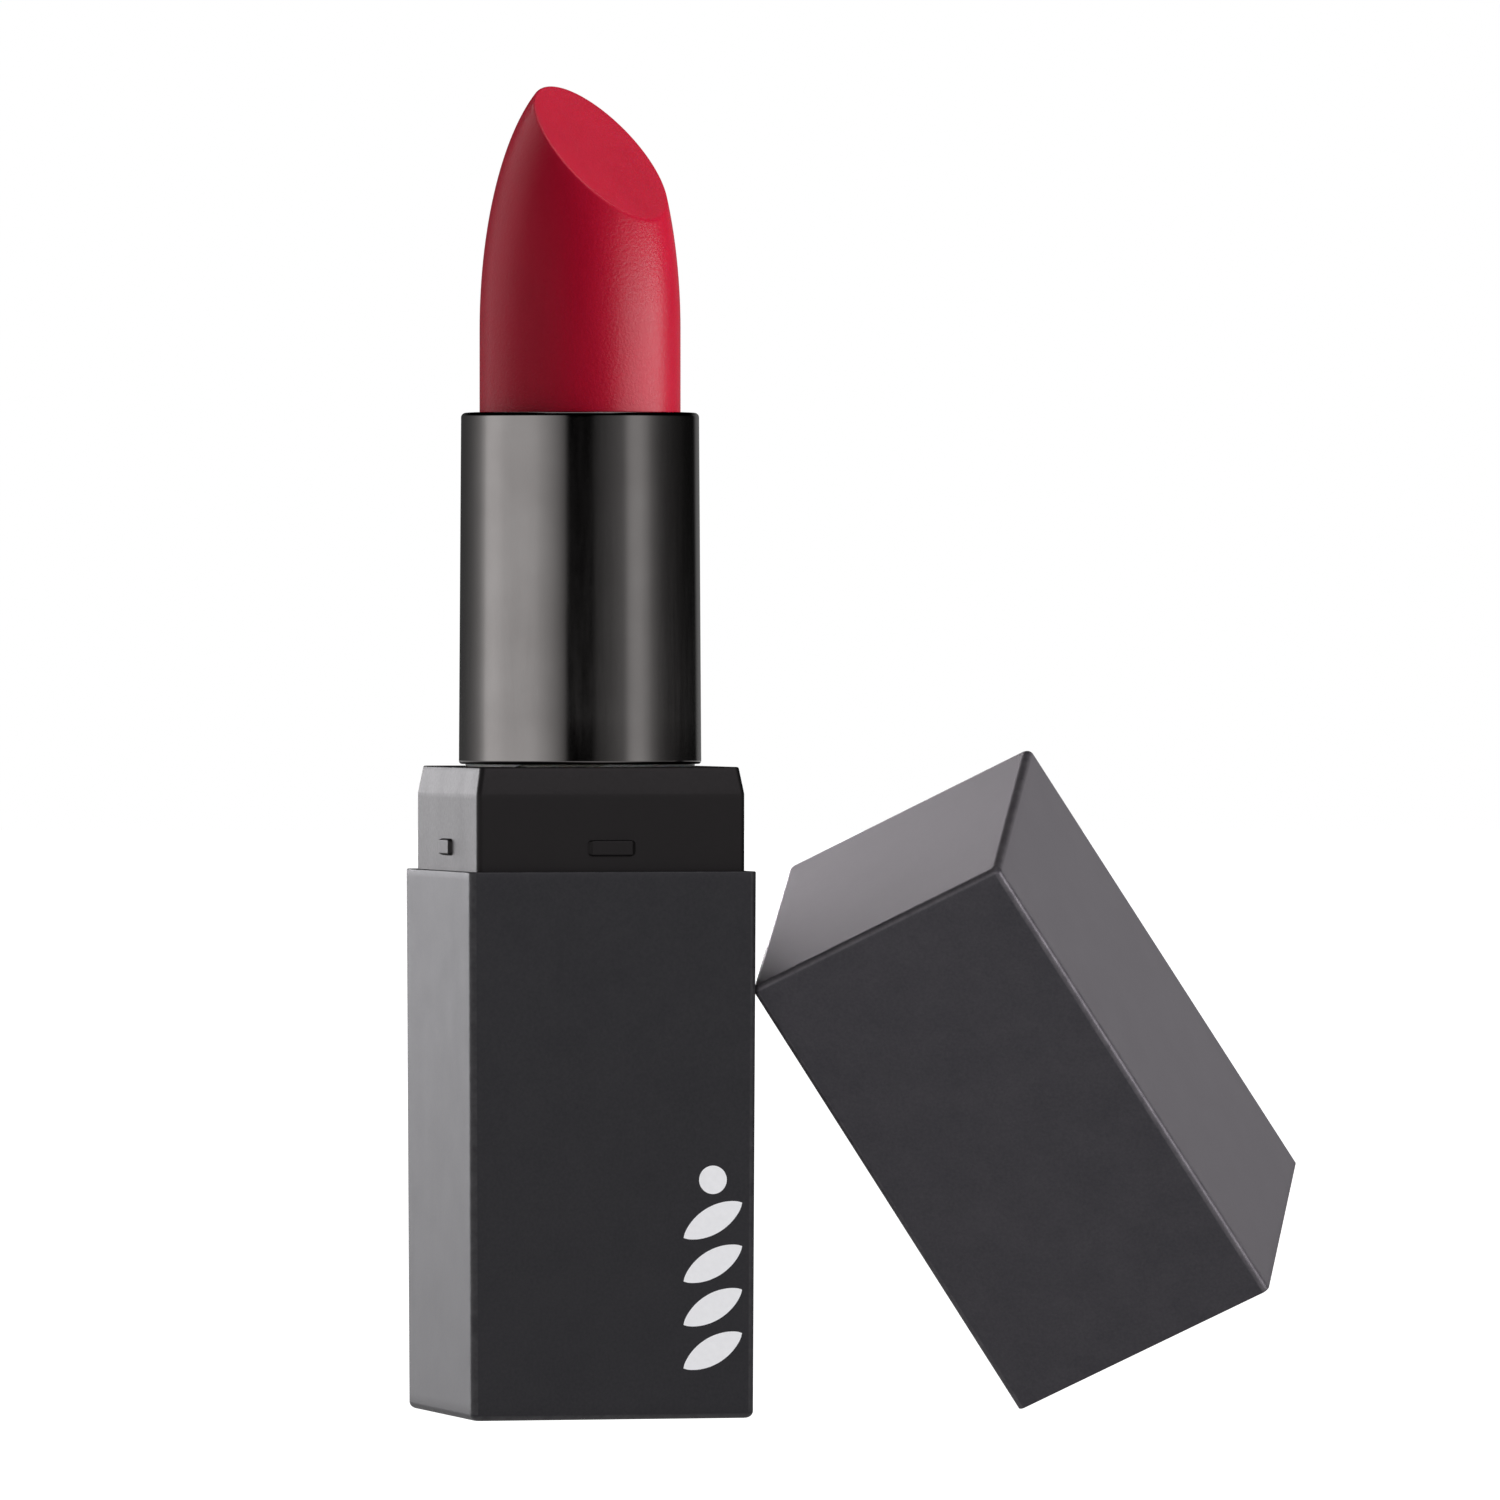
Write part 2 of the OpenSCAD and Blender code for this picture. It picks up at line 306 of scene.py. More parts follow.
ink = Finish("white_ink", {"IOR": 1.45})
ink.feed(Base_Color=ink.tint(ink.spread(ink.noise(0.4 * MM, 4), 0, 1), (0.9, 0.9, 0.92), (0.94, 0.94, 0.96)),
         Roughness=ink.spread(ink.noise(0.2 * MM), 0.4, 0.55))
ink.bump((ink.noise(0.08 * MM, 3), 0.001 * MM))
ink.on(front_print)
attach(front_print, "base")


# --- Collar -------------------------------------------------------------------------------------
# A block moulded in satin black resin and pushed into the base shell. Its top stands out as the square
# collar that the cap grips, with an oblong snap bump on each side. A round bore holds the mechanism.

collar_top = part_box("inner_base")[1].z
collar_half = 8.7 * MM
collar_top_half = 8.4 * MM
slope_h = 1.7 * MM
slope_z = collar_top - slope_h
collar_edge, collar_round = 0.12 * MM, 0.35 * MM
bore_r = 7.5 * MM
bump_up, bump_w, bump_h, bump_out = 1.5 * MM, 3.1 * MM, 1.0 * MM, 0.24 * MM
bump_z = base_top + bump_up


def pad(u, v, width, height, corner=0.34 * MM, edge=0.1 * MM, end=0.24 * MM):
    """Height, 0 to 1, of an oblong pad with round corners and bevelled ends.

    The way in from its outline is corner less the distance beyond the corner centres. Over that way,
    up to edge, the pad rises as a quarter round. From its ends it rises evenly over end, and the
    lower of the two counts.
    """
    beyond_u, beyond_v = np.abs(u) - width / 2 + corner, np.abs(v) - height / 2 + corner
    way_in = corner - np.hypot(np.maximum(beyond_u, 0), np.maximum(beyond_v, 0))
    rounded = np.sqrt(1 - (1 - np.clip(way_in / edge, 0, 1)) ** 2)
    return np.minimum(rounded, np.clip((width / 2 - np.abs(u)) / end, 0, 1))


def swollen(x, y, z, half, pad_z, width, height, out):
    """Square rings with a pad pushed out of each of their four flats at height pad_z."""
    facing_x = np.abs(x) > np.abs(y)
    flat = np.maximum(np.abs(x), np.abs(y)) > half - 0.001 * MM
    rise = pad(np.where(facing_x, y, x), z - pad_z, width, height) * out * flat
    return x + np.sign(x) * rise * facing_x, y + np.sign(y) * rise * ~facing_x


fine = np.linspace(-1, 1, 73) * 0.54 * bump_w / (collar_half - collar_round)
slope_from = 90 - math.degrees(math.atan2(slope_h, collar_half - collar_top_half))
section = np.concatenate([
    [[collar_half, floor_z], [collar_half, floor_z + 0.05 * MM], [collar_half, base_top - 1 * MM]],
    [[collar_half, z] for z in np.linspace(-0.56, 0.56, 33) * bump_h + bump_z],
    [[collar_half, slope_z - 0.3 * MM], [collar_half, slope_z - 0.03 * MM],
     [collar_half - 0.007 * MM, slope_z + 0.03 * MM], [collar_half - 0.05 * MM, slope_z + 0.3 * MM],
     [collar_top_half + 0.055 * MM, collar_top - 0.3 * MM]],
    bend((collar_top_half - collar_edge + 0.02 * MM, collar_top - collar_edge),
         slope_from, 90, collar_edge, 6),
    [[collar_top_half - 0.3 * MM, collar_top]]])
x, y = square_rings(section[:, 0], np.full(len(section), collar_round), along_side(fine))
z = np.broadcast_to(section[:, 1:2], x.shape)
x, y = swollen(x, y, z, section[:, :1], bump_z, bump_w, bump_h, bump_out)
bore = np.array([[1.03, 0], [1.006, 0], [1, 0.04], [1, 0.3], [1, 20], [1, 39.8], [1, 40]])
reach = np.hypot(x[-1], y[-1])
x = np.concatenate([x, bore_r * bore[:, :1] * x[-1] / reach])
y = np.concatenate([y, bore_r * bore[:, :1] * y[-1] / reach])
z = np.concatenate([z, np.repeat(collar_top - bore[:, 1:] * MM, x.shape[1], 1)])
collar = lofted("collar", x, y, z, loop=True)

satin = Finish("satin_black", {"Roughness": 0.5, "IOR": 1.4, "Specular Tint": (1, 0.93, 0.95, 1)})
flow = satin.noise(3 * MM, 4, stretch=(1, 1, 0.35))
satin.feed(Base_Color=satin.tint(satin.spread(flow, 0, 1),
                                 (0.0042, 0.0038, 0.0039), (0.0058, 0.0053, 0.0054)),
           Roughness=satin.reckon("ADD", satin.spread(flow, 0.49, 0.51),
                                  satin.spread(satin.noise(0.2 * MM, 4), -0.02, 0.03)))
satin.bump((satin.noise(0.06 * MM, 3), 0.0006 * MM), (satin.noise(0.24 * MM, 3), 0.0024 * MM))
satin.on(collar)
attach(collar, "base")
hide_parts("inner_base")


# --- Base weight and label ----------------------------------------------------------------------
# A turned steel slug pressed into the foot of the base gives it its heft, and a square paper label
# with a plain shade swatch is stuck in the shallow recess under it.

steel = Finish("turned_steel", {"Metallic": 1.0})
rings = steel.noise(0.25 * MM, 3, stretch=(0.25, 0.25, 4))
steel.feed(Base_Color=steel.tint(steel.spread(steel.noise(2 * MM, 4), 0, 1),
                                 (0.5, 0.5, 0.51), (0.62, 0.61, 0.6)),
           Roughness=steel.spread(rings, 0.22, 0.36))
steel.bump((rings, 0.004 * MM), (steel.noise(0.5 * MM), 0.002 * MM))
steel.on(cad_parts["base_weight"])

paper = Finish("label_paper", {"IOR": 1.45})
from_middle = paper.node("VectorMath", operation="LENGTH")
paper.links.new(paper.place, from_middle.inputs[0])
swatch = paper.spread(from_middle.outputs["Value"], 1, 0, 3.45 * MM, 3.5 * MM)
fibres = paper.noise(0.3 * MM, 5, 0.7, stretch=(1, 0.35, 1))
stock = paper.tint(paper.spread(fibres, 0, 1), (0.72, 0.71, 0.69), (0.84, 0.83, 0.81))
shade = paper.tint(paper.spread(fibres, 0, 1), (0.3, 0.008, 0.022), (0.36, 0.012, 0.03))
paper.feed(Base_Color=paper.tint(swatch, stock, shade), Roughness=paper.spread(fibres, 0.6, 0.75))
paper.bump((fibres, 0.006 * MM))
paper.on(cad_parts["base_label"])


# --- Twist mechanism ----------------------------------------------------------------------------
# A slotted tube glued into the base, a sleeve with two helical grooves that turns round it, and the cup
# that carries the wax, all moulded in resin. A soft grease-coated ring between them gives the drag.

def resin(name, one, other, gloss):
    """Moulded resin: faint flow clouds in its colour and gloss, and a fine sparked texture."""
    made = Finish(name, {"IOR": 1.5, "Subsurface Weight": 0.1, "Subsurface Scale": 0.4 * MM})
    clouds = made.noise(2.5 * MM, 4, stretch=(1, 1, 0.3))
    made.feed(Base_Color=made.tint(made.spread(clouds, 0, 1), one, other),
              Roughness=made.reckon("ADD", made.spread(clouds, gloss, gloss + 0.08),
                                    made.spread(made.noise(0.15 * MM, 3), -0.02, 0.02)))
    made.bump((made.noise(0.07 * MM, 3), 0.0015 * MM), (made.noise(1 * MM, 3), 0.004 * MM))
    return made


resin("natural_resin", (0.66, 0.64, 0.58), (0.74, 0.72, 0.67), 0.34).on(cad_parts["fork_tube"])
resin("white_resin", (0.76, 0.76, 0.75), (0.82, 0.82, 0.81), 0.28).on(
    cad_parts["cam_sleeve"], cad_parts["carrier_cup"])

rubber = Finish("ring_rubber", {"IOR": 1.5, "Sheen Weight": 0.1})
bloom = rubber.noise(0.6 * MM, 5, 0.65)
rubber.feed(Base_Color=rubber.tint(rubber.spread(bloom, 0, 1), (0.015, 0.015, 0.016), (0.045, 0.045, 0.046)),
            Roughness=rubber.spread(bloom, 0.5, 0.7))
rubber.bump((rubber.noise(0.05 * MM, 3), 0.003 * MM))
rubber.on(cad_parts["damping_ring"])


# --- Metal sleeve -------------------------------------------------------------------------------
# A thin sleeve drawn from aluminium sheet, its mouth rolled in over the mechanism. It is anodised a
# dark mirror-bright gunmetal. Turning it winds the bullet up.

sleeve_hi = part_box("metal_sleeve")[1]
sleeve_foot, sleeve_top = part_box("metal_sleeve")[0].z, sleeve_hi.z
sleeve_foot_r, sleeve_top_r, sleeve_in_r = sleeve_hi.x, 7.58 * MM, 7.35 * MM
rim_round, rim_in_r, rim_t = 0.3 * MM, 6.62 * MM, 0.42 * MM
hem, foot_round = 0.06 * MM, 0.2 * MM


def turned(name, section, columns=192):
    """A section of (radius, height) points spun about the axis: (r cos t, r sin t, z)."""
    t = np.linspace(0, 2 * np.pi, columns, endpoint=False)
    return lofted(name, section[:, :1] * np.cos(t), section[:, :1] * np.sin(t), section[:, 1:2], loop=True)


wall_z = np.linspace(sleeve_foot + 1.2 * foot_round, sleeve_top - rim_round - 0.1 * MM, 9)
wall_r = np.interp(wall_z, [sleeve_foot, sleeve_top - rim_round], [sleeve_foot_r, sleeve_top_r])
section = np.concatenate([
    [[sleeve_in_r, sleeve_foot + 0.02 * MM], [sleeve_in_r + 0.02 * MM, sleeve_foot]],
    bend((sleeve_foot_r - foot_round, sleeve_foot + foot_round), -90, 0, foot_round, 8),
    np.stack([wall_r, wall_z], -1),
    bend((sleeve_top_r - rim_round, sleeve_top - rim_round), 0, 90, rim_round, 12),
    [[rim_in_r + 0.3 * MM, sleeve_top], [rim_in_r + 0.15 * MM, sleeve_top]],
    bend((rim_in_r + hem, sleeve_top - hem), 90, 180, hem, 6),
    [[rim_in_r, sleeve_top - rim_t + 0.02 * MM], [rim_in_r + 0.02 * MM, sleeve_top - rim_t],
     [sleeve_in_r - 0.03 * MM, sleeve_top - rim_t], [sleeve_in_r, sleeve_top - rim_t - 0.03 * MM]]])
metal_sleeve = turned("gunmetal_sleeve", section)

gunmetal = Finish("gunmetal", {"Metallic": 1.0, "Roughness": 0.1})
drawn = gunmetal.noise(0.5 * MM, 4, stretch=(1, 1, 0.08))
cloud = gunmetal.noise(4 * MM, 3)
gunmetal.feed(Base_Color=gunmetal.tint(gunmetal.spread(cloud, 0, 1),
                                       (0.19, 0.179, 0.176), (0.21, 0.199, 0.196)),
              Roughness=gunmetal.reckon("ADD", gunmetal.spread(drawn, 0.085, 0.115),
                                        gunmetal.spread(gunmetal.noise(0.08 * MM, 3), -0.01, 0.01)))
gunmetal.bump((drawn, 0.0003 * MM), (gunmetal.noise(6 * MM, 2), 0.004 * MM))
gunmetal.on(metal_sleeve)
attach(metal_sleeve, "sleeve")
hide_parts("metal_sleeve")


# --- Wax bullet ---------------------------------------------------------------------------------
# Crimson lipstick wax, moulded with a stem that grips the cup, a straight body and an elliptical nose
# with one slanted facet. The mould leaves a satin skin, and the facet's rim is softly rounded.

stem_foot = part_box("wax_bullet")[0].z
bullet_r = 6.4 * MM
stem_r, stem_round = 5.9 * MM, 0.2 * MM
shoulder_z, shoulder_round = 61.75 * MM, 0.1 * MM
nose_z, nose_len = 69 * MM, 16.8 * MM
slant_z, slant_tilt, slant_heading = 82.1 * MM, math.radians(46.7), math.radians(-54.2)
facet_round = 0.2 * MM

t = np.linspace(0, 2 * np.pi, 256, endpoint=False)[None, :]
# The slant falls by k for each unit from the axis. It meets the nose (R cos a, nose_z + L sin a) where
# L sin a + k R cos a = slant_z - nose_z, which is A sin(a + d) with A^2 = L^2 + (k R)^2, tan d = k R / L.
k = math.tan(slant_tilt) * np.cos(t - slant_heading)
cut_angle = (np.arcsin((slant_z - nose_z) / np.hypot(nose_len, k * bullet_r))
             - np.arctan2(k * bullet_r, nose_len))
slope = np.hypot(bullet_r * np.sin(cut_angle), nose_len * np.cos(cut_angle))
nose_angle = np.linspace(0, 1, 30)[:, None] * (cut_angle - facet_round / slope)
rim_r = bullet_r * np.cos(cut_angle)
facet_share = 1 - facet_round / (rim_r * np.sqrt(1 + k ** 2))
# Where the nose meets the facet the corner is replaced by the curve (1-s)^2 P + 2 s (1-s) Q + s^2 F,
# from P on the nose, by the corner Q, to F on the facet.
s = np.linspace(0, 1, 9)[1:-1, None]
nose_end_r, nose_end_z = bullet_r * np.cos(nose_angle[-1:]), nose_z + nose_len * np.sin(nose_angle[-1:])
facet_r = rim_r * facet_share * np.linspace(1, 0.06, 14)[:, None]
weight = [(1 - s) ** 2, 2 * s * (1 - s), s ** 2]
curve_r = weight[0] * nose_end_r + weight[1] * rim_r + weight[2] * facet_r[:1]
curve_z = weight[0] * nose_end_z + weight[1] * (slant_z - rim_r * k) + weight[2] * (slant_z - facet_r[:1] * k)
body = np.concatenate([
    [[0.5 * stem_r, stem_foot]],
    bend((stem_r - stem_round, stem_foot + stem_round), -90, 0, stem_round, 5),
    [[stem_r, shoulder_z - 0.05 * MM], [stem_r, shoulder_z], [stem_r + 0.05 * MM, shoulder_z]],
    bend((bullet_r - shoulder_round, shoulder_z + shoulder_round), -90, 0, shoulder_round, 5),
    [[bullet_r, z] for z in np.linspace(shoulder_z + 0.3 * MM, nose_z - 0.3 * MM, 5)]])
wide = np.ones_like(t)
radius = np.concatenate([body[:, :1] * wide, bullet_r * np.cos(nose_angle), curve_r, facet_r])
height = np.concatenate([body[:, 1:] * wide, nose_z + nose_len * np.sin(nose_angle), curve_z,
                         slant_z - facet_r * k])
wax_bullet = lofted("crimson_bullet", radius * np.cos(t), radius * np.sin(t), height)

wax = Finish("crimson_wax", {"IOR": 1.19, "Subsurface Weight": 0.15, "Subsurface Scale": 0.4 * MM,
                             "Subsurface Radius": (1.0, 0.2, 0.15)})
swirl = wax.noise(3.5 * MM, 5, 0.6, stretch=(1, 1, 0.45))
grain = wax.noise(0.2 * MM, 4, 0.6)
pigment = wax.reckon("ADD", wax.spread(swirl, 0, 0.75), wax.spread(grain, 0, 0.25))
wax.feed(Base_Color=wax.tint(pigment, (0.29, 0.003, 0.017), (0.34, 0.005, 0.022)),
         Roughness=wax.reckon("ADD", wax.spread(swirl, 0.3, 0.34), wax.spread(grain, -0.02, 0.02)))
wax.bump((grain, 0.025 * MM), (wax.noise(1.6 * MM, 3, stretch=(1, 1, 0.5)), 0.006 * MM))
wax.on(wax_bullet)
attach(wax_bullet, "bullet")
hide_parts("wax_bullet")


# --- Cap ----------------------------------------------------------------------------------------
# The pull-off cap, moulded and lacquered like the base, with a shallow pocket on each inner side for the
# collar's bumps. It stands on one corner of its mouth and leans its closed end on the base.

cap_lean, cap_roll, cap_heading = math.radians(36.4), math.radians(44), math.radians(16)
cap_len, cap_end_t, cap_cavity_half = 33.55 * MM, 1.25 * MM, 8.8 * MM
chamfer = 0.3 * MM
lean = np.array(Matrix.Rotation(cap_heading, 3, "Z") @ Matrix.Rotation(-cap_lean, 3, "Y")
                @ Matrix.Rotation(-cap_roll, 3, "Z"))
# The cap's place follows from its box: the outermost points of its chamfered form, turned, touch it.
reach = np.array([[a * w, b * (w - chamfer), z] for a in (-1, 1) for b in (-1, 1)
                  for w, z in ((joint_half, 0), (closed_half, cap_len - chamfer))])
reach = np.concatenate([reach, reach[:, [1, 0, 2]]])
box = np.array(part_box("outer_cap"))
cap_at = (box.sum(0) - (reach @ lean.T).min(0) - (reach @ lean.T).max(0)) / 2


def leaning(x, y, z):
    """Points of the cap's own frame, mouth centre at its origin, turned and carried to where it leans."""
    return np.moveaxis(np.stack([x, y, np.broadcast_to(z, x.shape)], -1) @ lean.T + cap_at, -1, 0)


ceiling = cap_len - cap_end_t
pocket_play, pocket_deep = 0.3 * MM, 0.25 * MM
pocket = np.array([bump_w, bump_h]) + pocket_play
inner_z = np.concatenate([[ceiling - 0.05 * MM, 20 * MM, 4 * MM],
                          bump_up - np.linspace(-0.54, 0.54, 29) * pocket[1], [2.5 * lip]])
wall_z = cap_len * (1 - np.array([0.985, 0.9, 0.7, 0.5, 0.3, 0.1, 0.03]))
end = bend((closed_half - shell_round, cap_len - shell_round), 0, 90, shell_round, 8)
end[:, 0] += (joint_half - closed_half) * (1 - end[:, 1] / cap_len)
section = np.concatenate([
    [[0.3 * cap_cavity_half, ceiling], [cap_cavity_half - 0.05 * MM, ceiling], [cap_cavity_half, ceiling]],
    [[cap_cavity_half, z] for z in inner_z],
    bend((cap_cavity_half + lip, lip), 180, 270, lip, 5),
    bend((joint_half - lip, lip), 270, 360, lip, 5),
    np.stack([np.interp(wall_z, [0, cap_len], [joint_half, closed_half]), wall_z], -1),
    end,
    [[closed_half - 1.15 * shell_round, cap_len], [0.6 * closed_half, cap_len],
     [0.2 * closed_half, cap_len]]])
corner = np.interp(section[:, 0], [0.3 * cap_cavity_half, cap_cavity_half, closed_half],
                   [0.05 * MM, cavity_round, shell_round])
along = along_side(np.linspace(-1, 1, 61) * 0.53 * pocket[0] / (cap_cavity_half - cavity_round))
x, y = square_rings(section[:, 0], corner, along)
z = np.broadcast_to(section[:, 1:2], x.shape)
inner = np.arange(len(section))[:, None] < 3 + len(inner_z)
wide_x, wide_y = swollen(x, y, z, section[:, :1], bump_up, pocket[0], pocket[1], pocket_deep)
x, y = np.where(inner, wide_x, x), np.where(inner, wide_y, y)
cap_shell = lofted("cap_shell", *leaning(x, y, z))
# In the section, the lip's bends start at lips, after the inner side, and the closed end's bend at ends.
lips, ends = 3 + len(inner_z), len(section) - 11
# The cap's long edges, lip and end rim are painted lighter the same way, partly as wear and partly as a
# painted highlight.
note_places(cap_shell, "wear_and_highlight", wear_and_highlight_places(along, section, closed_half,
                                           [*range(lips + 1, lips + 9), *range(ends + 2, ends + 7)]))
soft_touch.on(cap_shell)
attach(cap_shell, "cap")
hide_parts("outer_cap")


# --- Cap liner ----------------------------------------------------------------------------------
# A block of satin black resin glued inside the cap. Its round bore clears the sleeve and the wax.

liner_half, liner_r, liner_edge = 8.75 * MM, 8.1 * MM, 0.05 * MM
liner_mouth, liner_end = 7.4 * MM, ceiling - 0.9 * MM
section = np.array([[0.4, liner_end], [0.98, liner_end], [1, liner_end - 0.2 * MM], [1, 20 * MM],
                    [1, liner_mouth + 0.4 * MM], [1.01, liner_mouth + 0.1 * MM], [1.03, liner_mouth]])
outer = np.array([[liner_half - liner_edge, liner_mouth], [liner_half, liner_mouth + liner_edge],
                  [liner_half, 20 * MM], [liner_half, ceiling - liner_edge],
                  [liner_half - liner_edge, ceiling], [0.3 * liner_half, ceiling]])
ox, oy = square_rings(outer[:, 0], np.clip(0.05 * outer[:, 0], 0, cavity_round), along_side())
reach = np.hypot(ox[0], oy[0])
x = np.concatenate([liner_r * section[:, :1] * ox[0] / reach, ox])
y = np.concatenate([liner_r * section[:, :1] * oy[0] / reach, oy])
z = np.concatenate([section[:, 1], outer[:, 1]])[:, None]
cap_liner = lofted("cap_liner", *leaning(x, y, z))
satin.on(cap_liner)
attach(cap_liner, "cap")
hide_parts("inner_cap")


# --- Floor --------------------------------------------------------------------------------------
# A wide round sheet of plain white laminate, with the faintest unevenness. It glows a little on the object
# and more towards the lens, which sees it white all over.

sheet_z = -0.02 * MM
glow_all, glow_to_lens = 0.44, 0.72
t = np.linspace(0, 2 * np.pi, 96, endpoint=False)
floor_r = np.array([0.02, 0.3, 1, 3.2])[::-1, None]
rows, n = len(floor_r), len(t)
points = np.stack([floor_r * np.cos(t), floor_r * np.sin(t), np.full((rows, n), sheet_z)], -1).reshape(-1, 3)
r, i = np.meshgrid(np.arange(rows - 1), np.arange(n), indexing="ij")
j = (i + 1) % n
faces = np.stack([r * n + i, r * n + j, (r + 1) * n + j, (r + 1) * n + i], -1).reshape(-1, 4).tolist()
floor = skin("floor", points, faces + [((rows - 1) * n + np.arange(n)).tolist()])
white = Finish("floor_white", {"IOR": 1.3, "Specular IOR Level": 0.1, "Emission Color": (1, 1, 1, 1)})
seen = white.node("LightPath").outputs["Is Camera Ray"]
white.feed(Base_Color=white.tint(white.spread(white.noise(0.05, 3), 0, 1),
                                 (0.48, 0.48, 0.48), (0.5, 0.5, 0.5)),
           Roughness=white.spread(white.noise(0.004, 3), 0.7, 0.8),
           Emission_Strength=white.reckon("MULTIPLY_ADD", seen, glow_to_lens, glow_all))
white.on(floor)


# --- Light --------------------------------------------------------------------------------------
# A dim room whose pale band round the horizon gives the bright sleeve its streaks, and soft panels. All are
# placed by their angle round the object from the lens, left below 0. A panel is flagged off every piece but
# those that it names, so that each finish has light from where it needs it. The one overhead lights them all.

lens_side = math.radians(-13.858)
world = bpy.data.worlds.new("studio")
bpy.context.scene.world = world
world.use_nodes = True
nodes, links = world.node_tree.nodes, world.node_tree.links


def world_math(operation, a, b=0.0, c=0.0):
    """The result of one sum on outputs and numbers, in the world's own nodes."""
    made = nodes.new("ShaderNodeMath")
    made.operation = operation
    for socket, value in zip(made.inputs, (a, b, c)):
        if isinstance(value, bpy.types.NodeSocket):
            links.new(value, socket)
        else:
            socket.default_value = value
    return made.outputs[0]


curve_top = 4.0


def brightness(degrees, stops):
    """Brightness by angle round the object, a smooth curve through stops of (degrees, brightness)."""
    made = nodes.new("ShaderNodeFloatCurve")
    curve = made.mapping.curves[0]
    while len(curve.points) < len(stops):
        curve.points.new(0.5, 0.5)
    for point, (at, value) in zip(curve.points, stops):
        point.location = (at + 180) / 360, value / curve_top
        point.handle_type = "AUTO_CLAMPED"
    made.mapping.update()
    links.new(world_math("MULTIPLY_ADD", degrees, 1 / 360, 0.5), made.inputs["Value"])
    return world_math("MULTIPLY", made.outputs[0], curve_top)


direction = nodes.new("ShaderNodeSeparateXYZ")
links.new(nodes.new("ShaderNodeTexCoord").outputs["Generated"], direction.inputs[0])
dx, dy, dz = direction.outputs


def level_part(east, north):
    """How far the direction goes along a level line: its x times east and its y times north, added."""
    return world_math("ADD", world_math("MULTIPLY", dx, east), world_math("MULTIPLY", dy, north))


towards = level_part(math.sin(lens_side), -math.cos(lens_side))
sideways = level_part(math.cos(lens_side), math.sin(lens_side))
degrees = world_math("MULTIPLY", world_math("ARCTAN2", sideways, towards), 180 / math.pi)
level = brightness(degrees, [
    (-180, 0.03), (-137, 0.15), (-119, 0.4), (-106, 0.98), (-94, 1.66), (-73, 1.38), (-48, 1.32), (-38, 1.08),
    (-22, 0.57), (-14, 0.25), (-8, 0.0), (9, 0.0), (17, 0.08), (33, 0.21), (42, 0.32), (57, 0.88), (66, 0.7),
    (76, 0.32), (87, 0.13), (110, 0.04), (142, 0.01), (155, 0.2), (167, 0.2), (180, 0.03)])
band_full, band_gone = 0.12, 0.34


def step_up(value, low, high):
    """0 below low, 1 above high, smooth between them."""
    made = nodes.new("ShaderNodeMapRange")
    made.interpolation_type = "SMOOTHSTEP"
    links.new(value, made.inputs["Value"])
    made.inputs["From Min"].default_value, made.inputs["From Max"].default_value = low, high
    return made.outputs["Result"]


glow = world_math("MULTIPLY", level, world_math("SUBTRACT", 1.0, step_up(dz, band_full, band_gone)))
# The lens sees the world plain white; the band is for reflections and for light on the pieces.
seen = nodes.new("ShaderNodeLightPath").outputs["Is Camera Ray"]
strength = world_math("ADD", world_math("MULTIPLY", glow, world_math("SUBTRACT", 1.0, seen)), seen)
links.new(strength, nodes["Background"].inputs["Strength"])
nodes["Background"].inputs["Color"].default_value = (1, 1, 1, 1)


def soft_panel(name, degrees, up, distance, size, power, lit=(), hue=(1, 1, 1)):
    """A soft light facing the object, unseen by the lens. Where lit names pieces, it lights only those."""
    lamp = bpy.data.lights.new(name, "AREA")
    lamp.shape, lamp.energy, lamp.color = "RECTANGLE", power, hue
    lamp.size, lamp.size_y = size
    made = bpy.data.objects.new(name, lamp)
    bpy.context.scene.collection.objects.link(made)
    turn, up = lens_side + math.radians(degrees), math.radians(up)
    away = Vector((math.sin(turn) * math.cos(up), -math.cos(turn) * math.cos(up), math.sin(up)))
    made.location = Vector((0.01, 0, 0.04)) + distance * away
    made.rotation_euler = away.to_track_quat("Z", "Y").to_euler()
    made.visible_camera = False
    if lit:
        made.light_linking.receiver_collection = bpy.data.collections.new(name)
        for piece in lit:
            made.light_linking.receiver_collection.objects.link(piece)


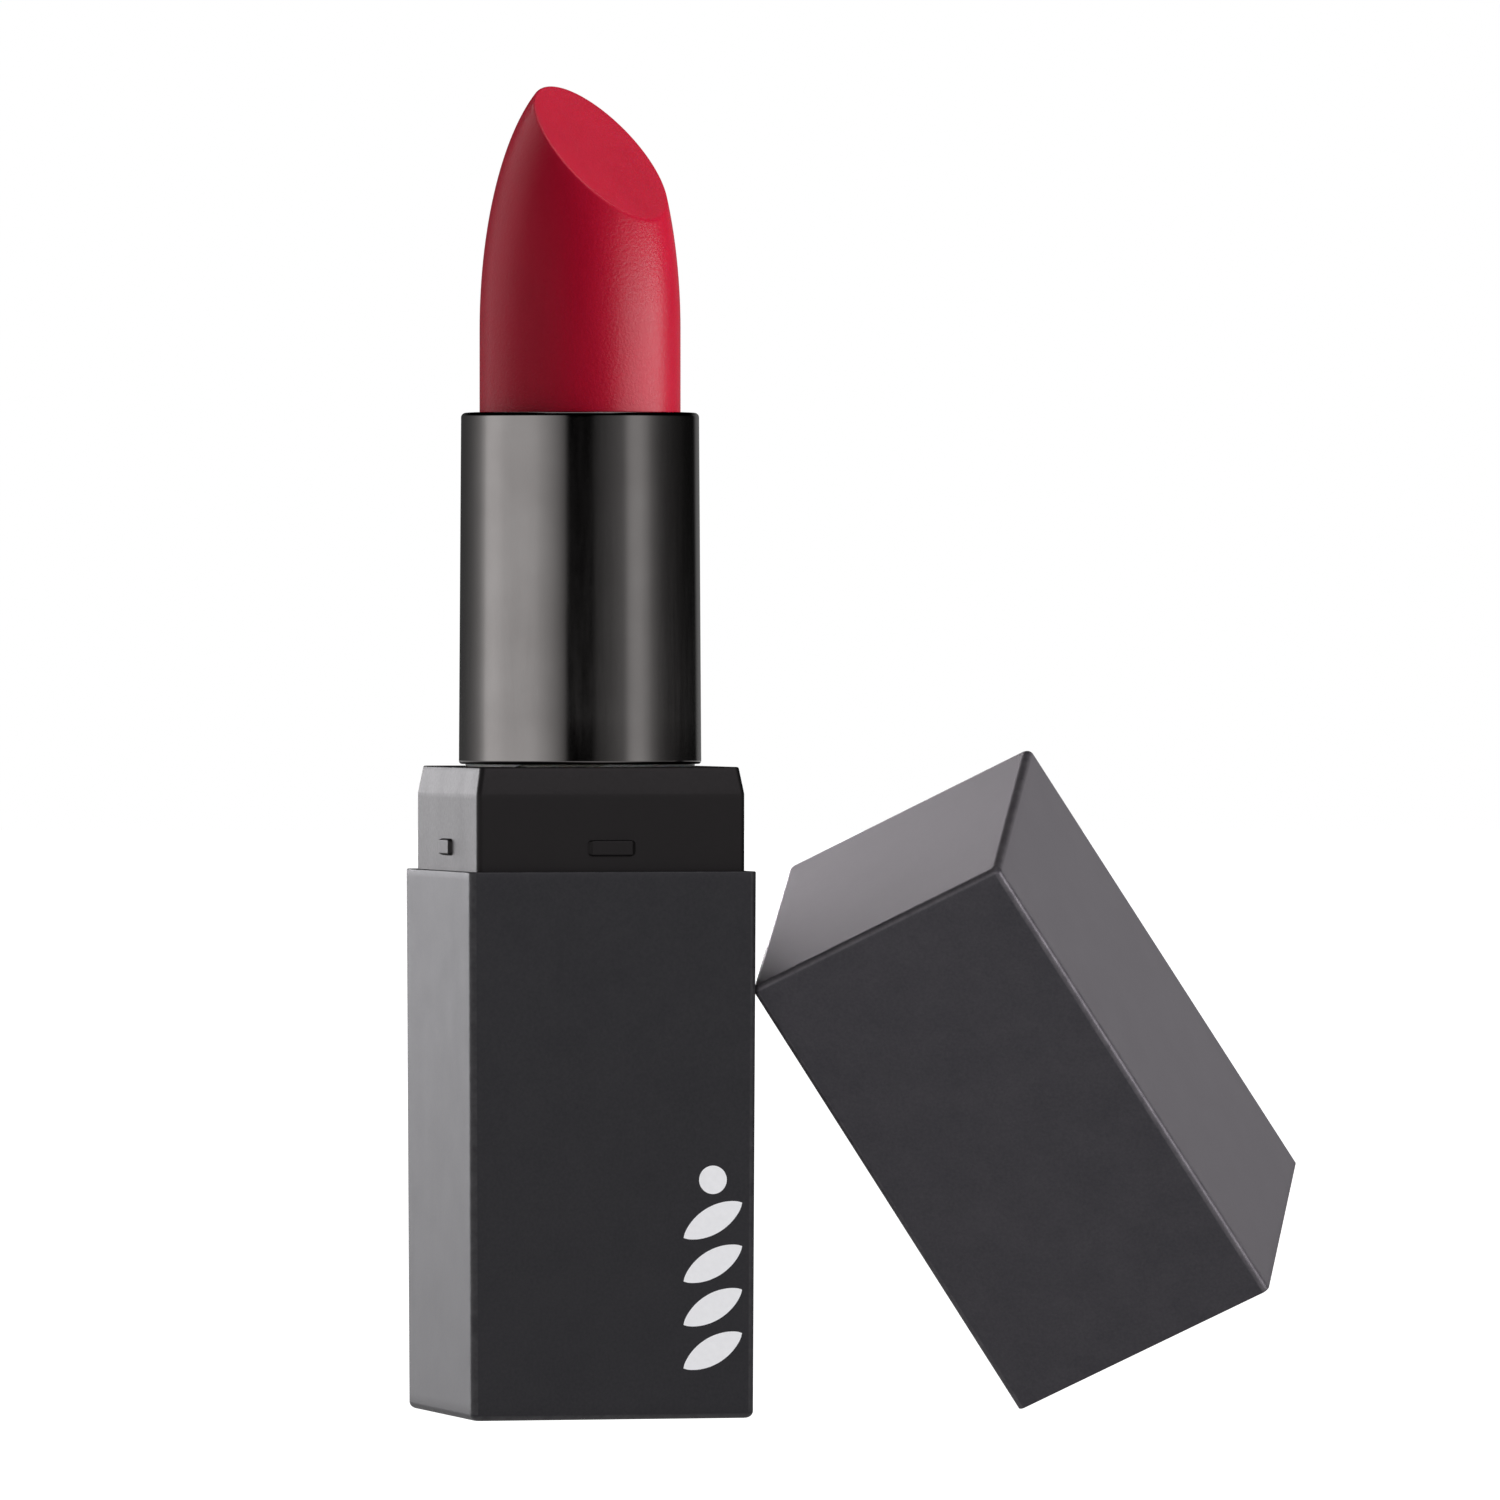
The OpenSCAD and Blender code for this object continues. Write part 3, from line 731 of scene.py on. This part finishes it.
foot = (base_shell, front_print, collar)
lid = (cap_shell, cap_liner)
cool, rosy = (0.98, 0.97, 1.0), (1.0, 0.94, 0.99)
soft_panel("base_left_panel", -140, 3.8, 3, (2.75, 0.36), 30, foot, cool)
soft_panel("base_front_panel", 28, 30, 0.9, (0.5, 0.5), 2.4, foot, cool)
soft_panel("cap_left_panel", -140, 15.5, 3, (2.75, 0.7), 172, lid, rosy)
soft_panel("cap_right_panel", 145, 19, 1.2, (1.1, 0.46), 3, lid, rosy)
soft_panel("cap_front_panel", -8, 4, 0.9, (0.6, 0.6), 7.4, lid, rosy)
soft_panel("cap_edge_panel", 60, 3, 0.9, (0.1, 0.5), 11, lid, rosy)
soft_panel("print_panel", 14, 30, 0.9, (0.5, 0.5), 2.7, (front_print,))
soft_panel("wax_left_panel", -112, 6, 0.9, (0.8, 0.3), 0.8, (wax_bullet,))
soft_panel("wax_upper_left_panel", -106, 44, 0.9, (0.9, 0.9), 4.8, (wax_bullet,))
soft_panel("wax_right_panel", 77, 4, 0.9, (1.05, 0.2), 13.5, (wax_bullet,))
soft_panel("wax_rear_panel", 137, 40, 0.9, (0.5, 0.5), 0.22, (wax_bullet,))
soft_panel("wax_top_panel", 90, 65, 0.9, (0.6, 0.6), 4.6, (wax_bullet,))
soft_panel("ceiling_panel", 180, 84, 1.3, (0.9, 0.9), 1.6)


# --- Camera -------------------------------------------------------------------------------------
# A long lens a metre away, level with the lower part of the sleeve and turned to show the left side.

lens_distance, lens_aside, lens_height = 1.0, 10.82 * MM, 48.704 * MM
lens_dip = 0.00647
back = Vector((math.sin(lens_side), -math.cos(lens_side), 0))
right = Vector((math.cos(lens_side), math.sin(lens_side), 0))
lens = bpy.data.cameras.new("lens")
lens.lens, lens.sensor_width = 376.88, 36
lens.clip_start, lens.clip_end = 0.01, 50
camera = bpy.data.objects.new("camera", lens)
bpy.context.scene.collection.objects.link(camera)
camera.location = back * lens_distance + right * lens_aside + Vector((0, 0, lens_height))
camera.rotation_euler = (math.pi / 2 - lens_dip, 0, lens_side)
bpy.context.scene.camera = camera
bpy.context.scene.view_settings.view_transform = "Standard"
